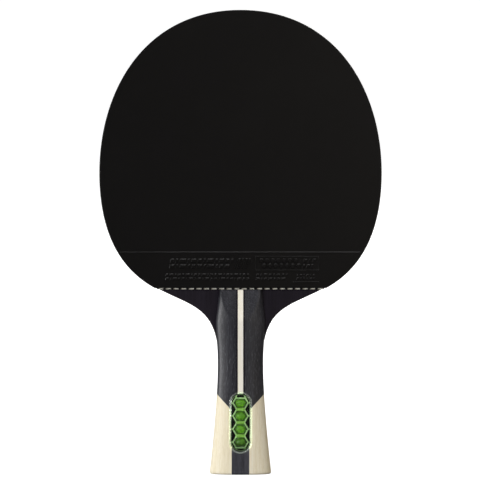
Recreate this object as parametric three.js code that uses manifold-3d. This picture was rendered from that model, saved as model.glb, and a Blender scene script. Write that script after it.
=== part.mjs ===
// Table tennis paddle, in millimetres: a five-ply blade, a rubber on each side, edge tape,
// laminated handle scales and a honeycomb badge let into the front scale.
// It stands on the end of its handle: +Z is up, X is the width, and the front faces -Y.
// The origin is the centre of the handle's end.

import * as THREE from 'three';
import { mergeVertices } from 'three/addons/utils/BufferGeometryUtils.js';
import Module from 'manifold-3d';

const wasm = await Module();
wasm.setup();

// ---------------------------------------------------------------- driving dimensions

// Layers, outwards from the middle of the blade
const coreThickness = 3.2;
const innerPlyThickness = 0.9;
const facePlyThickness = 0.6;
const spongeThickness = 1.8;
const topsheetThickness = 1.7;

// Head outline: a crown, a flank below the widest place, and a neck that runs in to the handle
const headTop = 249.75;
const headHalfWidth = 75.7;
const widestHeight = 162.4;
const crownPull = [51.7, 43.8];
const flankPull = [34.5, 18.1];
const neckPull = [23.6, 33.0];
const shoulder = new THREE.Vector2(47.1, 101.2);
const shoulderAngle = THREE.MathUtils.degToRad(29.6);
const neckFoot = new THREE.Vector2(11.8, 58.4);

// Rubbers and tape
const spongeBottom = 99.4;
const topsheetBottom = 100.2;
const topsheetOverhang = 0.2;
const tapeBottom = 100.5;
const tapeHalfWidth = 4.5;
const tapeInset = 0.05;
const tapeOutset = 0.5;

// Handle scales, by half width
const endHalfWidth = 16.65;
const endFlarePull = new THREE.Vector2(13.0, 34);
const waistHalfWidth = 12.25;
const waistHeight = 60.6;
const waistPull = 12.6;
const shoulderHalfWidth = 13.25;
const shoulderHeight = 82.5;
const shoulderPull = 6;
const scaleTop = 99.3;
const scaleTopHalfWidth = 11.4;
const endRounding = 1.2;

// Handle scales, by thickness: the half thickness grows with the half width
const waistHalfThickness = 10.9;
const thicknessPerWidth = 0.26;
const sectionRoundness = 2.15;
const rampStart = 83.5;
const rampEndDepth = 3.0;

// Joints between the woods of a scale
const glueGap = 0.05;
const stripeHalfWidth = 1.6;
const lineHalfWidth = 2.3;
const tailHalfWidth = 4.72;
const veeLow = 34.6;
const veeSlope = 1.06;

// Badge, in its own frame: the origin is on the face of the scale, depth runs inwards.
// Steps of the cover are its inset from the rim and its rise above the wood.
const badgeBottom = 11.4;
const badgeTop = 44.6;
const lensHalfWidth = 6.15;
const coverSteps = [
  [0, -0.8], [0, 0.15], [0.1, 0.33], [0.4, 0.42],
  [0.7, 0.33], [0.8, 0.15], [1.0, 0.11], [5.2, 0.13],
];
const hollowSteps = [[0.95, -1], [0.95, -0.4], [5.2, -0.38]];
const recessHalfSize = [6.2, 16.65];
const recessDepth = 0.85;
const pocketHalfSize = [5.6, 15.7];
const pocketDepth = 3.3;
const trayHalfSize = [5.55, 15.65];
const trayDepths = [0.95, 3.2];
const trayFloor = 0.5;
const latticeHalfSize = [5.15, 15.25];
const latticeDepths = [1.0, 2.65];
const latticeRim = 0.2;
const cellPitch = 7.05;
const cellCount = 4;
const cellWall = 0.74;
const bridgeHalfSize = [2.0, 0.95];
const endWall = 0.8;
const domeHalfSize = [2.9, 2.3];
const domeRise = 1.1;

// Fineness of the curves
const crownSteps = 18;
const flankSteps = 14;
const neckSteps = 12;
const flareSteps = 10;
const waistSteps = 4;
const sectionSteps = 18;
const badgeArcSteps = 10;
const reach = 60;

// ---------------------------------------------------------------- materials

function material(color, roughness, metalness = 0) {
  return new THREE.MeshStandardMaterial({ color, roughness, metalness });
}

const corePly = material('#d8b98a', 0.7);
const innerPly = material('#b98f5c', 0.7);
const blackVeneer = material('#1e1c21', 0.6);
const sponge = material('#e6d5b4', 0.95);
const blackRubber = material('#18161a', 0.55);
const redRubber = material('#b3121d', 0.5);
const blackTape = material('#141316', 0.7);
const darkWood = material('#46454b', 0.6);
const creamWood = material('#eadfc6', 0.6);
const blackPlastic = material('#050806', 0.5);
const lightGreen = material('#8fb873', 0.45);
const darkGreen = material('#3f7a18', 0.35);
const clearResin = material('#e8f2e4', 0.05);
clearResin.transparent = true;
clearResin.opacity = 0.35;

// ---------------------------------------------------------------- solids

const paddle = new THREE.Group();

function addPiece(name, geometry, look) {
  const mesh = new THREE.Mesh(geometry, look);
  mesh.name = name;
  paddle.add(mesh);
  return mesh;
}

function toManifold(geometry) {
  const bare = geometry.clone();
  bare.deleteAttribute('normal');
  bare.deleteAttribute('uv');
  const merged = mergeVertices(bare, 1e-5);
  const vertProperties = new Float32Array(merged.attributes.position.array);
  const triVerts = new Uint32Array(merged.index.array);
  return new wasm.Manifold(new wasm.Mesh({ numProp: 3, vertProperties, triVerts }));
}

function toGeometry(manifold) {
  const mesh = manifold.getMesh();
  const geometry = new THREE.BufferGeometry();
  geometry.setAttribute('position', new THREE.BufferAttribute(mesh.vertProperties, 3));
  geometry.setIndex(new THREE.BufferAttribute(mesh.triVerts, 1));
  geometry.computeVertexNormals();
  return geometry;
}

// A flat plate: an outline in X and Z, between two exact levels of Y
function plate(outline, yLow, yHigh) {
  const geometry = new THREE.ExtrudeGeometry(new THREE.Shape(outline), {
    depth: 1,
    bevelEnabled: false,
  });
  const position = geometry.attributes.position;
  for (let i = 0; i < position.count; i += 1) {
    const y = position.getZ(i) > 0.5 ? yLow : yHigh;
    position.setXYZ(i, position.getX(i), y, position.getY(i));
  }
  geometry.computeVertexNormals();
  return geometry;
}

// A closed solid through a stack of outlines with the same number of points
function loft(rings) {
  const count = rings[0].length;
  const positions = rings.flat().flatMap((point) => [point.x, point.y, point.z]);
  const indices = [];
  for (let ring = 0; ring + 1 < rings.length; ring += 1) {
    for (let i = 0; i < count; i += 1) {
      const a = ring * count + i;
      const b = ring * count + ((i + 1) % count);
      indices.push(a, b, b + count, a, b + count, a + count);
    }
  }
  const last = (rings.length - 1) * count;
  for (let i = 1; i + 1 < count; i += 1) {
    indices.push(0, i + 1, i);
    indices.push(last, last + i, last + i + 1);
  }
  const geometry = new THREE.BufferGeometry();
  geometry.setAttribute('position', new THREE.Float32BufferAttribute(positions, 3));
  geometry.setIndex(indices);
  geometry.computeVertexNormals();
  return geometry;
}

function swapSides(point) {
  return new THREE.Vector2(-point.x, point.y);
}

// Right half of an outline, from the top down, closed by its mirror image
function closeOutline(rightHalf) {
  const leftHalf = rightHalf.filter((point) => point.x > 0).map(swapSides).reverse();
  return [...rightHalf, ...leftHalf];
}

function offsetOutline(points, distance) {
  return points.map((point, i) => {
    const before = points[Math.max(i - 1, 0)];
    const after = points[Math.min(i + 1, points.length - 1)];
    const along = i === 0 ? new THREE.Vector2(1, 0) : after.clone().sub(before).normalize();
    return new THREE.Vector2(point.x - along.y * distance, point.y + along.x * distance);
  });
}

// The part of a falling outline above a level, with its last point on the level
function cutAbove(points, level) {
  const kept = points.filter((point) => point.y > level);
  const below = points[kept.length];
  const above = kept[kept.length - 1];
  const share = (above.y - level) / (above.y - below.y);
  return [...kept, above.clone().lerp(below, share)];
}

// ---------------------------------------------------------------- outlines

function cubic(start, pullStart, pullEnd, end, steps) {
  return new THREE.CubicBezierCurve(start, pullStart, pullEnd, end).getPoints(steps);
}

function headCurve() {
  const top = new THREE.Vector2(0, headTop);
  const widest = new THREE.Vector2(headHalfWidth, widestHeight);
  const along = new THREE.Vector2(Math.cos(shoulderAngle), Math.sin(shoulderAngle));
  const crown = cubic(
    top,
    new THREE.Vector2(crownPull[0], headTop),
    new THREE.Vector2(headHalfWidth, widestHeight + crownPull[1]),
    widest,
    crownSteps,
  );
  const flank = cubic(
    widest,
    new THREE.Vector2(headHalfWidth, widestHeight - flankPull[0]),
    shoulder.clone().addScaledVector(along, flankPull[1]),
    shoulder,
    flankSteps,
  );
  const neck = cubic(
    shoulder,
    shoulder.clone().addScaledVector(along, -neckPull[0]),
    new THREE.Vector2(neckFoot.x, neckFoot.y + neckPull[1]),
    neckFoot,
    neckSteps,
  );
  return [...crown, ...flank.slice(1), ...neck.slice(1)];
}

// Half widths of the handle, from its end up: x is the half width and y the height
function handleFlank() {
  const waist = new THREE.Vector2(waistHalfWidth, waistHeight);
  const flare = cubic(
    new THREE.Vector2(endHalfWidth, 0),
    endFlarePull,
    new THREE.Vector2(waistHalfWidth, waistHeight - waistPull),
    waist,
    flareSteps,
  );
  const upper = cubic(
    waist,
    new THREE.Vector2(waistHalfWidth, waistHeight + shoulderPull),
    new THREE.Vector2(shoulderHalfWidth, shoulderHeight - shoulderPull),
    new THREE.Vector2(shoulderHalfWidth, shoulderHeight),
    waistSteps,
  );
  const top = new THREE.Vector2(scaleTopHalfWidth, scaleTop);
  return [...flare, ...upper.slice(1), top];
}

const flank = handleFlank();

function flankHalfWidth(height) {
  const next = Math.max(flank.findIndex((point) => point.y >= height), 1);
  const low = flank[next - 1];
  const high = flank[next];
  return THREE.MathUtils.mapLinear(height, low.y, high.y, low.x, high.x);
}

function halfThickness(halfWidth) {
  return waistHalfThickness + thicknessPerWidth * (halfWidth - waistHalfWidth);
}

// The end of the handle is rounded over by a quarter circle, which these stations follow
function endStations() {
  return [0, 0.3, 0.6, 1].map((share) => {
    const height = endRounding * share;
    const inset = endRounding - Math.sqrt(endRounding ** 2 - (endRounding - height) ** 2);
    return { height, inset };
  });
}

// Stations of the handle, each with its height, half width and half thickness
function handleStations() {
  const rounded = endStations().map(({ height, inset }) => {
    const halfWidth = flankHalfWidth(height);
    return { height, halfWidth: halfWidth - inset, halfDepth: halfThickness(halfWidth) - inset };
  });
  const plain = flank.filter((point) => point.y > endRounding).map((point) => ({
    height: point.y,
    halfWidth: point.x,
    halfDepth: halfThickness(point.x),
  }));
  return [...rounded, ...plain];
}

const head = headCurve();
const stations = handleStations();

// The blade's outline is the head's, until the neck meets the flank of the handle
function bladeOutline() {
  const aboveHandle = head.filter(
    (point) => point.y > scaleTop || point.x > flankHalfWidth(point.y),
  );
  const neckEnd = aboveHandle[aboveHandle.length - 1];
  const inHandle = stations
    .filter((station) => station.height < neckEnd.y)
    .map((station) => new THREE.Vector2(station.halfWidth, station.height))
    .reverse();
  return closeOutline([...aboveHandle, ...inHandle]);
}

// ---------------------------------------------------------------- blade

const coreFace = coreThickness / 2;
const innerFace = coreFace + innerPlyThickness;
const woodFace = innerFace + facePlyThickness;
const spongeFace = woodFace + spongeThickness;
const rubberFace = spongeFace + topsheetThickness;
const sides = { front: -1, back: 1 };

// A layer between two distances from the middle of the blade, on one side of it
function layer(outline, side, inner, outer) {
  const low = Math.min(sides[side] * inner, sides[side] * outer);
  const high = Math.max(sides[side] * inner, sides[side] * outer);
  return plate(outline, low, high);
}

function addBlade() {
  const outline = bladeOutline();
  addPiece('blade_core_ply', plate(outline, -coreFace, coreFace), corePly);
  for (const side of Object.keys(sides)) {
    addPiece(`blade_inner_ply_${side}`, layer(outline, side, coreFace, innerFace), innerPly);
    addPiece(`blade_face_ply_${side}`, layer(outline, side, innerFace, woodFace), blackVeneer);
  }
}

// ---------------------------------------------------------------- rubbers and tape

function addRubbers() {
  const spongeOutline = closeOutline(cutAbove(head, spongeBottom));
  const sheetOutline = closeOutline(
    cutAbove(offsetOutline(head, topsheetOverhang), topsheetBottom),
  );
  const sheetLooks = { front: blackRubber, back: redRubber };
  for (const side of Object.keys(sides)) {
    addPiece(`${side}_sponge`, layer(spongeOutline, side, woodFace, spongeFace), sponge);
    const sheet = layer(sheetOutline, side, spongeFace, rubberFace);
    addPiece(`${side}_topsheet`, sheet, sheetLooks[side]);
  }
}

function addEdgeTape() {
  const outside = closeOutline(cutAbove(offsetOutline(head, tapeOutset), tapeBottom));
  const inside = closeOutline(cutAbove(offsetOutline(head, tapeInset), tapeBottom));
  const half = (outside.length + 1) / 2;
  const fromLeftFoot = (points) => [...points.slice(half), ...points.slice(0, half)];
  const band = [...fromLeftFoot(outside), ...fromLeftFoot(inside).reverse()];
  addPiece('edge_tape', plate(band, -tapeHalfWidth, tapeHalfWidth), blackTape);
}

// ---------------------------------------------------------------- badge frame

function faceDepthAt(height) {
  return halfThickness(flankHalfWidth(height));
}

const badgeHalfLength = (badgeTop - badgeBottom) / 2;
const badgeTilt = Math.atan2(
  faceDepthAt(badgeTop) - faceDepthAt(badgeBottom),
  badgeTop - badgeBottom,
);
const badgePlace = new THREE.Vector3(
  0,
  -(faceDepthAt(badgeBottom) + faceDepthAt(badgeTop)) / 2,
  (badgeTop + badgeBottom) / 2,
);

function placeInBadge(mesh) {
  mesh.position.copy(badgePlace);
  mesh.rotation.x = badgeTilt;
}

// A stadium outline with round ends, in X and Z
function stadium(halfWidth, halfLength) {
  const straight = halfLength - halfWidth;
  const outline = [];
  for (const end of [1, -1]) {
    for (let i = 0; i <= badgeArcSteps; i += 1) {
      const angle = (Math.PI * i) / badgeArcSteps;
      const x = end * halfWidth * Math.cos(angle);
      const z = end * (straight + halfWidth * Math.sin(angle));
      outline.push(new THREE.Vector2(x, z));
    }
  }
  return outline;
}

// ---------------------------------------------------------------- handle scales

// One section of a scale: straight across the wood, then a crowned face with round corners
function scaleSection(station) {
  const rise = station.halfDepth - woodFace;
  const points = [];
  for (let i = 0; i <= sectionSteps; i += 1) {
    const angle = (Math.PI * i) / sectionSteps;
    const cosine = Math.cos(angle);
    const across = Math.sign(cosine) * Math.abs(cosine) ** (2 / sectionRoundness);
    const up = Math.sin(angle) ** (2 / sectionRoundness);
    const y = i === 0 || i === sectionSteps ? -woodFace : -woodFace - rise * up;
    points.push(new THREE.Vector3(-station.halfWidth * across, y, station.height));
  }
  return points;
}

// The face slopes down to the blade at the top of the scale
function rampTool() {
  const faceDepth = halfThickness(shoulderHalfWidth) + 1;
  const faceStart = rampStart - (faceDepth - halfThickness(shoulderHalfWidth)) / rampFall();
  const outline = [
    new THREE.Vector2(faceStart, faceDepth),
    new THREE.Vector2(scaleTop, woodFace + rampEndDepth),
    new THREE.Vector2(scaleTop + 1, woodFace + rampEndDepth),
    new THREE.Vector2(scaleTop + 1, faceDepth),
  ];
  const rings = [-reach, reach].map((x) => (
    outline.map((point) => new THREE.Vector3(x, -point.y, point.x))
  ));
  return toManifold(loft(rings));
}

function rampFall() {
  const drop = halfThickness(shoulderHalfWidth) - woodFace - rampEndDepth;
  return drop / (scaleTop - rampStart);
}

function badgeTool(halfSize, depth) {
  const shape = plate(stadium(...halfSize), -reach, depth);
  shape.rotateX(badgeTilt);
  shape.translate(badgePlace.x, badgePlace.y, badgePlace.z);
  return toManifold(shape);
}

// A shallow recess for the cover, with the deeper pocket of the tray in it
function pocketTool() {
  return badgeTool(recessHalfSize, recessDepth).add(badgeTool(pocketHalfSize, pocketDepth));
}

// Outlines of a scale's woods in X and Z. Each keeps half of the glue gap to its neighbours.
function scalePieces() {
  const half = glueGap / 2;
  const veeAt = (x, shift) => new THREE.Vector2(x, veeLow + (x - tailHalfWidth) * veeSlope + shift);
  const veeGap = half * Math.hypot(1, veeSlope);
  const point = (x, z) => new THREE.Vector2(x, z);
  const upper = [
    point(lineHalfWidth + half, veeLow + half),
    point(tailHalfWidth, veeLow + half),
    veeAt(tailHalfWidth, veeGap),
    veeAt(reach, veeGap),
    point(reach, reach * 2),
    point(lineHalfWidth + half, reach * 2),
  ];
  const line = [
    point(stripeHalfWidth + half, veeLow + half),
    point(lineHalfWidth - half, veeLow + half),
    point(lineHalfWidth - half, reach * 2),
    point(stripeHalfWidth + half, reach * 2),
  ];
  const wing = [
    point(tailHalfWidth + half, -1),
    point(reach, -1),
    veeAt(reach, -veeGap),
    veeAt(tailHalfWidth + half, -veeGap),
  ];
  const stripe = [
    point(-stripeHalfWidth + half, veeLow + half),
    point(stripeHalfWidth - half, veeLow + half),
    point(stripeHalfWidth - half, reach * 2),
    point(-stripeHalfWidth + half, reach * 2),
  ];
  const tail = [
    point(-tailHalfWidth + half, -1),
    point(tailHalfWidth - half, -1),
    point(tailHalfWidth - half, veeLow - half),
    point(-tailHalfWidth + half, veeLow - half),
  ];
  const mirror = (outline) => outline.map(swapSides);
  return {
    grip_upper_left: [mirror(upper), darkWood],
    grip_upper_right: [upper, darkWood],
    inlay_stripe: [stripe, creamWood],
    inlay_line_left: [mirror(line), blackVeneer],
    inlay_line_right: [line, blackVeneer],
    grip_wing_left: [mirror(wing), creamWood],
    grip_wing_right: [wing, creamWood],
    grip_tail: [tail, darkWood],
  };
}

// The back scale is the front one turned half round
function turned(geometry) {
  const position = geometry.attributes.position;
  for (let i = 0; i < position.count; i += 1) {
    position.setXYZ(i, -position.getX(i), -position.getY(i), position.getZ(i));
  }
  return geometry;
}

function addScales() {
  const whole = loft(stations.map(scaleSection));
  const shaped = toManifold(whole).subtract(rampTool());
  const blocks = {
    front: shaped.subtract(pocketTool()),
    back: toManifold(turned(toGeometry(shaped))),
  };
  for (const side of Object.keys(sides)) {
    for (const [name, [outline, look]] of Object.entries(scalePieces())) {
      const cutter = toManifold(layer(outline, side, 0, reach));
      addPiece(`${side}_${name}`, toGeometry(blocks[side].intersect(cutter)), look);
    }
  }
}

// ---------------------------------------------------------------- badge

function badgePlate(outline, depths) {
  return toManifold(plate(outline, depths[0], depths[1]));
}

function addTray() {
  const [rimDepth, floorDepth] = trayDepths;
  const wall = trayHalfSize[0] - latticeHalfSize[0] - glueGap;
  const outside = badgePlate(stadium(...trayHalfSize), trayDepths);
  const hollow = badgePlate(
    stadium(trayHalfSize[0] - wall, trayHalfSize[1] - wall),
    [rimDepth - 1, floorDepth - trayFloor],
  );
  placeInBadge(addPiece('badge_tray', toGeometry(outside.subtract(hollow)), blackPlastic));
}

// A flat-topped hexagon, by the distance from its centre to a side
function hexagon(centreX, centreZ, apothem) {
  const radius = apothem / Math.cos(Math.PI / 6);
  return Array.from({ length: 6 }, (_, i) => {
    const angle = (Math.PI * i) / 3;
    return new THREE.Vector2(centreX + radius * Math.cos(angle), centreZ + radius * Math.sin(angle));
  });
}

function cellHeight(index) {
  return (index - (cellCount - 1) / 2) * cellPitch;
}

// A rectangle across the middle of the badge, between two heights
function bar(halfWidth, start, end) {
  return [
    new THREE.Vector2(-halfWidth, Math.min(start, end)),
    new THREE.Vector2(halfWidth, Math.min(start, end)),
    new THREE.Vector2(halfWidth, Math.max(start, end)),
    new THREE.Vector2(-halfWidth, Math.max(start, end)),
  ];
}

function addLattice() {
  const columnSpacing = cellPitch * Math.cos(Math.PI / 6);
  const tall = [latticeDepths[0] - 1, latticeDepths[1] + 1];
  const insideRim = badgePlate(
    stadium(latticeHalfSize[0] - latticeRim, latticeHalfSize[1] - latticeRim),
    tall,
  );
  const whole = badgePlate(stadium(...latticeHalfSize), latticeDepths);
  let lattice = whole;
  for (const column of [-1, 0, 1]) {
    for (let row = 0; row < cellCount + Math.abs(column); row += 1) {
      const x = column * columnSpacing;
      const z = cellHeight(row - Math.abs(column) / 2);
      const cell = badgePlate(hexagon(x, z, (cellPitch - cellWall) / 2), tall);
      lattice = lattice.subtract(cell.intersect(insideRim));
    }
  }
  const [bridgeHalfWidth, bridgeHalfHeight] = bridgeHalfSize;
  for (let i = 0; i <= cellCount; i += 1) {
    const middle = cellHeight(i - 0.5);
    const bridge = bar(bridgeHalfWidth, middle - bridgeHalfHeight, middle + bridgeHalfHeight);
    lattice = lattice.add(badgePlate(bridge, latticeDepths).intersect(whole));
  }
  const slotStart = cellHeight(cellCount - 0.5) - bridgeHalfHeight + endWall;
  for (const end of [1, -1]) {
    const slot = bar(bridgeHalfWidth, end * slotStart, end * latticeHalfSize[1]);
    lattice = lattice.subtract(badgePlate(slot, tall).intersect(insideRim));
  }
  placeInBadge(addPiece('badge_lattice', toGeometry(lattice), lightGreen));
}

// A low dome on an oval foot, which rises towards the face of the badge
function domeGeometry(height) {
  const profile = [[0, 1], [0.45, 0.9], [0.8, 0.66], [1, 0.3]];
  const sideSteps = 16;
  const rings = profile.map(([rise, size]) => (
    Array.from({ length: sideSteps }, (_, i) => {
      const angle = (2 * Math.PI * i) / sideSteps;
      return new THREE.Vector3(
        domeHalfSize[0] * size * Math.cos(angle),
        latticeDepths[1] - rise * domeRise,
        height + domeHalfSize[1] * size * Math.sin(angle),
      );
    })
  ));
  return loft(rings);
}

function addCells() {
  for (let i = 0; i < cellCount; i += 1) {
    const fromTop = cellCount - 1 - i;
    placeInBadge(addPiece(`badge_cell_${i + 1}`, domeGeometry(cellHeight(fromTop)), darkGreen));
  }
}

// A solid through stadium outlines, each given by its inset and its rise above the wood
function coverBody(steps) {
  const rings = steps.map(([inset, rise]) => (
    stadium(lensHalfWidth - inset, badgeHalfLength - inset)
      .map((point) => new THREE.Vector3(point.x, -rise, point.y))
  ));
  return toManifold(loft(rings));
}

// The clear cover: a round bead that fills the recess, and a flat pane inside it
function addLens() {
  const cover = coverBody(coverSteps).subtract(coverBody(hollowSteps));
  placeInBadge(addPiece('badge_lens', toGeometry(cover), clearResin));
}

addBlade();
addRubbers();
addEdgeTape();
addScales();
addTray();
addLattice();
addCells();
addLens();

export default paddle;
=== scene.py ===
# Table tennis paddle: the finished pieces and their materials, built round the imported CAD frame.
# Shapes are worked out in millimetres and written to the meshes in metres. In the helpers,
# "out" is the distance from the middle of the blade, so the front is at y = -out.

import math

import bmesh
import bpy
import numpy as np
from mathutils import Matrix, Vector


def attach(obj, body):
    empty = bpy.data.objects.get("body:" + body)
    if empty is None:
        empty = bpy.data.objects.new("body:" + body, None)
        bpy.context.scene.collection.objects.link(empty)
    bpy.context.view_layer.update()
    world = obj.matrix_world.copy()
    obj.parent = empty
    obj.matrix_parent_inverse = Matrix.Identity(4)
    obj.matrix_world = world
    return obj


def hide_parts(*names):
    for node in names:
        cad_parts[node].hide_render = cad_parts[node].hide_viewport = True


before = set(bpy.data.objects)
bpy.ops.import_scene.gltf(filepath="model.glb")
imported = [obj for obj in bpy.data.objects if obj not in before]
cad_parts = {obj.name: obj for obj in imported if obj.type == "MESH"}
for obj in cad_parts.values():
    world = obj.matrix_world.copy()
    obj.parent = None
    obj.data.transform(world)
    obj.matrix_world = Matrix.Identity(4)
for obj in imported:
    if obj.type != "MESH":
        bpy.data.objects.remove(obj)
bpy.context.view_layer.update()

MM = 0.001
BODY = "root"

# ---------------- sizes, in millimetres

# Layers, outwards from the middle of the blade
CORE_FACE = 1.6
INNER_FACE = 2.5
WOOD_FACE = 3.1
SPONGE_FACE = 4.9
PIP_TOP = 5.75
RUBBER_FACE = 6.6

# Head outline
HEAD_TOP = 249.75
HEAD_HALF_WIDTH = 75.7
WIDEST_HEIGHT = 162.4
CROWN_PULL = (51.7, 43.8)
FLANK_PULL = (34.5, 18.1)
NECK_PULL = (23.6, 33.0)
SHOULDER = np.array([47.1, 101.2])
SHOULDER_ANGLE = math.radians(29.6)
NECK_FOOT = np.array([11.8, 58.4])

# Handle, by half width and half thickness
END_HALF_WIDTH = 16.65
FLARE_PULL = np.array([13.0, 34.0])
WAIST = np.array([12.25, 60.6])
WAIST_PULL = 12.6
HANDLE_SHOULDER = np.array([13.25, 82.5])
HANDLE_SHOULDER_PULL = 6.0
SCALE_TOP = np.array([11.4, 99.3])
WAIST_HALF_THICKNESS = 10.9
THICKNESS_PER_WIDTH = 0.26
SECTION_ROUNDNESS = 2.15
SECTION_STEP = 0.75
END_ROUNDING = 1.2
RAMP_START = 83.5
RAMP_END_RISE = 3.0
RAMP_SOFTNESS = 0.5

# Joints of a scale
GLUE_GAP = 0.04
STRIPE_HALF_WIDTH = 1.46
LINE_HALF_WIDTH = 2.3
TAIL_HALF_WIDTH = 4.72
VEE_LOW = 34.6
VEE_SLOPE = 1.06

# Badge
BADGE_BOTTOM = 11.4
BADGE_TOP = 44.6
# Recess and pocket by half width, half length and depth; tray and lattice by the first two
RECESS = (6.2, 16.65, 0.85)
POCKET = (5.6, 15.7, 3.3)
TRAY = (5.55, 15.65)
TRAY_DEPTHS = (0.95, 3.2)
TRAY_FLOOR = 0.5
TRAY_GAP = 0.05
RIM_EASE = 0.08
LATTICE = (5.15, 15.25)
LATTICE_DEPTHS = (1.0, 2.65)
LATTICE_RIM = 0.2
LATTICE_MARGIN = 0.3
# Eased edges of the lattice, as pairs of a depth below its top and an outset
LATTICE_EASE = ((0.15, 0), (0.06, -0.03), (0, -0.13), (0, -LATTICE_MARGIN))
OPENING_FLARE = ((-0.3, 0.3), (-0.01, 0.136), (0.05, 0.05), (0.15, 0))
CELL_PITCH = 7.05
CELL_COUNT = 4
CELL_WALL = 0.74
BRIDGE_HALF_HEIGHT = 0.95
END_WALL = 0.8
TOP_CELL_CUT = 0.45
END_SLOT_HALF_WIDTH = 2.0
# The slots narrow towards a half width and height past the lattice
END_SLOT_TIP = (1.6, 20)
OPENING_ROUNDING = 0.14
# Half width of a window that is wider than a cell
PAST_CELL = 9
DOME_GAP = 0.15
DOME_HALF_WIDTH = 2.7
DOME_INSET = 0.22
DOME_RISE = 1.1
DOME_FOOT = 0.06
DOME_STEP = 0.02
DOME_TOP_SHARE = 0.97
DOME_SHRINK = 0.999
DOME_SIDES = 72
PAD_RISE = 0.2
PAD_EASE = 0.05
PAD_LEDGE = 0.07
# Bands of faces of the pad round each dome that are given the painted shade
PAD_BANDS = 3
LENS_HALF_WIDTH = 6.15
LENS_SEAT = 0.8
BEAD_WIDTH = 0.8
BEAD_FOOT = 0.12
BEAD_RISE = 0.27
BEAD_STEPS = 14
PANE_THICKNESS = 0.5
PANE_MIDDLE = 5.2
HOLLOW_INSET = 0.95
FOOT_EASE = 0.05

# Rubbers
SPONGE_LEVELS = ((3.1, 99.4), (4.0, 99.43), (4.75, 99.46), (4.9, 99.56))
SHEET_LEVEL = 100.35
SHEET_OUTSET = 0.2
SHEET_ROUNDING = 0.22
SHEET_SLANT = 0.15
PIP_PITCH = 2.36
PIP_RADIUS = 0.6
PIP_BAND = 4.6
PIP_ROW_HEIGHT = 99.95
PIP_CUT_LEVEL = 99.48
PIP_SIDES = 14
PIP_FOOT_FLARE = 0.12
PIP_FOOT_HEIGHT = 0.2
PIP_ROOT = 0.15

# Ornament on the sheet
RIDGE_HEIGHT = 119.45
RIDGE_RELIEF = 0.2
RIDGE_HALF_HEIGHT = 0.3
RIDGE_END_GAP = 1.2
MARK_RELIEF = 0.34
MARK_SOFTNESS = 0.9
MARK_ROOT = 0.2
MARK_ROUNDING = 0.18
BAR_ROUNDING = 0.05
BAR_GAP = 0.02
HEXAGON_COUNT = 14
HEXAGON_RADIUS = 1.45
HEXAGON_STEP = 1.55
HEXAGON_START = 11.2
HEXAGON_ROWS = (114.9, 112.1)
BAND_SHARE = 0.4

# Edge tape
TAPE_HALF_WIDTH = 4.5
TAPE_LEVEL = 100.5
TAPE_INSIDE = 0.05
TAPE_OUTSIDE = 0.5
TAPE_ROUNDING = 0.12

# Past the edge of anything that a tool cuts
REACH = 60.0


# ---------------- outlines

def cubic(start, pull_start, pull_end, end, steps):
    t = np.linspace(0, 1, steps + 1)[:, None]
    s = 1 - t
    start, pull_start, pull_end, end = (np.asarray(p, float) for p in (start, pull_start, pull_end, end))
    return s**3 * start + 3 * s**2 * t * pull_start + 3 * s * t**2 * pull_end + t**3 * end


def head_curve():
    """The right half of the head and neck, from the top down, as (x, z)."""
    along = np.array([math.cos(SHOULDER_ANGLE), math.sin(SHOULDER_ANGLE)])
    widest = (HEAD_HALF_WIDTH, WIDEST_HEIGHT)
    crown = cubic(
        (0, HEAD_TOP),
        (CROWN_PULL[0], HEAD_TOP),
        (HEAD_HALF_WIDTH, WIDEST_HEIGHT + CROWN_PULL[1]),
        widest,
        steps=150,
    )
    flank = cubic(
        widest,
        (HEAD_HALF_WIDTH, WIDEST_HEIGHT - FLANK_PULL[0]),
        SHOULDER + FLANK_PULL[1] * along,
        SHOULDER,
        steps=90,
    )
    neck = cubic(
        SHOULDER,
        SHOULDER - NECK_PULL[0] * along,
        NECK_FOOT + (0, NECK_PULL[1]),
        NECK_FOOT,
        steps=80,
    )
    return np.vstack([crown, flank[1:], neck[1:]])


def handle_curve():
    """Half widths of the handle from its end up, as (half width, z)."""
    flare = cubic((END_HALF_WIDTH, 0), FLARE_PULL, WAIST - (0, WAIST_PULL), WAIST, steps=60)
    upper = cubic(
        WAIST,
        WAIST + (0, HANDLE_SHOULDER_PULL),
        HANDLE_SHOULDER - (0, HANDLE_SHOULDER_PULL),
        HANDLE_SHOULDER,
        steps=30,
    )
    return np.vstack([flare, upper[1:], SCALE_TOP[None]])


HEAD = head_curve()
HANDLE = handle_curve()


def handle_half_width(z):
    return np.interp(z, HANDLE[:, 1], HANDLE[:, 0])


def handle_half_thickness(z):
    return WAIST_HALF_THICKNESS + THICKNESS_PER_WIDTH * (handle_half_width(z) - WAIST[0])


def end_inset(z):
    """How far the rounded end of the handle stands back at a height."""
    left = np.clip(END_ROUNDING - np.asarray(z, float), 0, END_ROUNDING)
    return END_ROUNDING - np.sqrt(END_ROUNDING**2 - left**2)


def outward(points, distance):
    """A curve moved sideways, outwards on one that runs from the top down the right side."""
    along = np.gradient(points, axis=0)
    along[0] = (1, 0)
    along /= np.linalg.norm(along, axis=1)[:, None]
    normal = np.column_stack([-along[:, 1], along[:, 0]])
    return points + normal * np.reshape(distance, (-1, 1))


def cut_above(points, level):
    """The part of a falling curve above a level, ended on it."""
    kept = points[points[:, 1] > level]
    above, below = kept[-1], points[len(kept)]
    share = (above[1] - level) / (above[1] - below[1])
    return np.vstack([kept, above + share * (below - above)])


def resample(points, steps):
    length = np.concatenate([[0], np.cumsum(np.linalg.norm(np.diff(points, axis=0), axis=1))])
    at = np.linspace(0, length[-1], steps + 1)
    return np.column_stack([np.interp(at, length, points[:, i]) for i in (0, 1)])


def mirrored(half):
    """Closes a right half that starts on the middle line with its mirror image."""
    left = half[half[:, 0] > 1e-9] * (-1, 1)
    return np.vstack([half, left[::-1]])


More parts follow.
